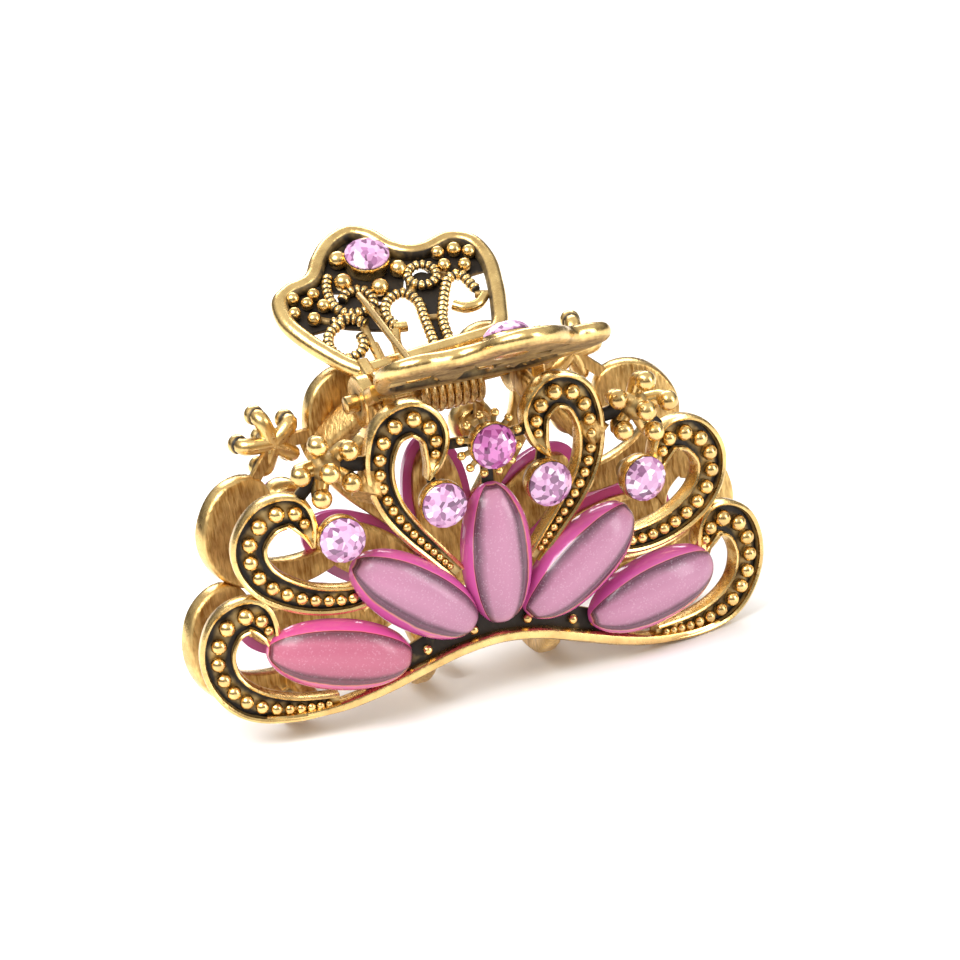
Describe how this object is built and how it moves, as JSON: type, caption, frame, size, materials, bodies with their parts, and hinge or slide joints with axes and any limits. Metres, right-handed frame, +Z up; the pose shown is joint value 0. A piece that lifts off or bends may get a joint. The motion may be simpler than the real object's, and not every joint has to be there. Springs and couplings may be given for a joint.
{
  "type": "rhinestone hair claw clip",
  "caption": "Spring-hinged antique-gold hair claw with openwork scroll jaws, pink petal cabochons, round rhinestones and trefoil thumb levers.",
  "frame": {"origin": "on the ground, in the middle of the clip, straight below the middle of the hinge pin", "axes": "+X along the hinge pin, +Z up, the front jaw faces -Y; the clip is closed at rest"},
  "size_m": [0.0578, 0.0418, 0.0392],
  "materials": {
    "antique_gold": "antique gold plate with dark patina in the recesses",
    "pin_metal": "plated, dull",
    "spring_wire": "gold-washed spring wire",
    "petal_resin": "glossy clear pink with a frosted, pearly core",
    "pink_crystal": "foiled light rose crystal"
  },
  "bodies": {
    "rear_jaw": {"hinge_pin": "pin_metal", "rear_centre_petal": "petal_resin", "rear_inner_petal_left": "petal_resin", "rear_inner_petal_right": "petal_resin", "rear_inner_stone_left": "pink_crystal", "rear_inner_stone_right": "pink_crystal", "rear_jaw_casting": "antique_gold", "rear_lever_stone": "pink_crystal", "rear_outer_petal_left": "petal_resin", "rear_outer_petal_right": "petal_resin", "rear_outer_stone_left": "pink_crystal", "rear_outer_stone_right": "pink_crystal", "rear_top_stone": "pink_crystal", "torsion_spring": "spring_wire"},
    "front_jaw": {"front_centre_petal": "petal_resin", "front_inner_petal_left": "petal_resin", "front_inner_petal_right": "petal_resin", "front_inner_stone_left": "pink_crystal", "front_inner_stone_right": "pink_crystal", "front_jaw_casting": "antique_gold", "front_lever_stone": "pink_crystal", "front_outer_petal_left": "petal_resin", "front_outer_petal_right": "petal_resin", "front_outer_stone_left": "pink_crystal", "front_outer_stone_right": "pink_crystal", "front_top_stone": "pink_crystal"}
  },
  "joints": [
    {"name": "jaw_hinge", "type": "hinge", "parent": "rear_jaw", "child": "front_jaw", "pos_m": [0, 0, 0.02865], "axis": [-1, 0, 0], "range_deg": [0, 80], "stiffness_Nm_per_rad": 0.06, "springref_deg": -68.75, "deforming": ["torsion_spring"]}
  ]
}
